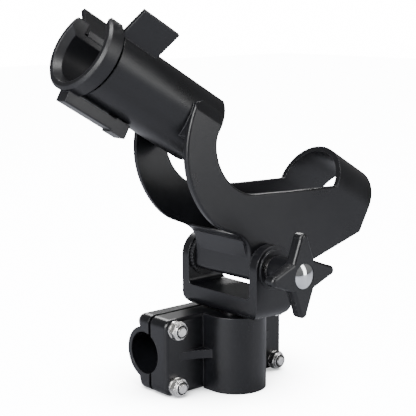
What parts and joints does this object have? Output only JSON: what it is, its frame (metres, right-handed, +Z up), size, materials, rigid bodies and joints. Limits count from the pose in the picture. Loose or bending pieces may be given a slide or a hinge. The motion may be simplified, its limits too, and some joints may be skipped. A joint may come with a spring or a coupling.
{
  "type": "fishing rod holder",
  "caption": "Black moulded fishing rod holder: slotted tube with turning lock sleeve and rear hoop, on a tilting and swivelling mount with a round-rail clamp.",
  "frame": {"origin": "centre of the post's flat foot", "axes": "+X towards the rod tube's mouth and along the clamped rail, +Y towards the star knob, +Z up the post"},
  "size_m": [0.2224, 0.1043, 0.2246],
  "materials": {
    "black_plastic": "moulded glass-filled nylon, satin with a fine grain",
    "sleeve_plastic": "moulded nylon, slightly smoother",
    "disc_nylon": "moulded nylon, matt",
    "zinc_steel": "zinc plated",
    "bright_stud": "polished"
  },
  "bodies": {
    "base": {"clamp_base": "black_plastic", "bottom_cap": "black_plastic", "nut_washer_1": "zinc_steel", "nut_washer_2": "zinc_steel", "nut_washer_3": "zinc_steel", "nut_washer_4": "zinc_steel", "lock_nut_1": "zinc_steel", "lock_nut_2": "zinc_steel", "lock_nut_3": "zinc_steel", "lock_nut_4": "zinc_steel", "lock_ring_1": "disc_nylon", "lock_ring_2": "disc_nylon", "lock_ring_3": "disc_nylon", "lock_ring_4": "disc_nylon"},
    "jaw": {"clamp_jaw": "black_plastic", "clamp_bolt_1": "zinc_steel", "clamp_bolt_2": "zinc_steel", "clamp_bolt_3": "zinc_steel", "clamp_bolt_4": "zinc_steel"},
    "yoke": {"yoke": "black_plastic", "swivel_washer": "zinc_steel", "swivel_screw": "zinc_steel", "captive_nut": "zinc_steel", "ratchet_disc_near": "disc_nylon", "ratchet_disc_far": "disc_nylon"},
    "knob_seat": {"thrust_washer": "zinc_steel"},
    "knob": {"star_knob": "black_plastic", "knob_stud": "bright_stud"},
    "cradle": {"cradle": "black_plastic"},
    "sleeve": {"lock_sleeve": "sleeve_plastic"}
  },
  "joints": [
    {"name": "swivel", "type": "hinge", "parent": "base", "child": "yoke", "pos_m": [0, 0, 0.046], "axis": [0, 0, 1], "continuous": true},
    {"name": "tilt", "type": "hinge", "parent": "yoke", "child": "cradle", "pos_m": [0, 0, 0.077], "axis": [0, -1, 0], "range_deg": [-40, 30]},
    {"name": "sleeve_lock", "type": "hinge", "parent": "cradle", "child": "sleeve", "pos_m": [0, 0, 0.1418], "axis": [0.8634, 0, 0.5045], "range_deg": [0, 100]},
    {"name": "knob_advance", "type": "slide", "parent": "yoke", "child": "knob_seat", "axis": [0, 1, 0], "range_m": [0, 0.0025]},
    {"name": "knob_turn", "type": "hinge", "parent": "knob_seat", "child": "knob", "pos_m": [0, 0, 0.077], "axis": [0, 1, 0], "range_deg": [0, 720]},
    {"name": "jaw_slide", "type": "slide", "parent": "base", "child": "jaw", "axis": [0, -1, 0], "range_m": [0, 0.004]}
  ],
  "couplings": [
    {"joint": "knob_turn", "follows": "knob_advance", "rad_per_m": 5026.5}
  ]
}
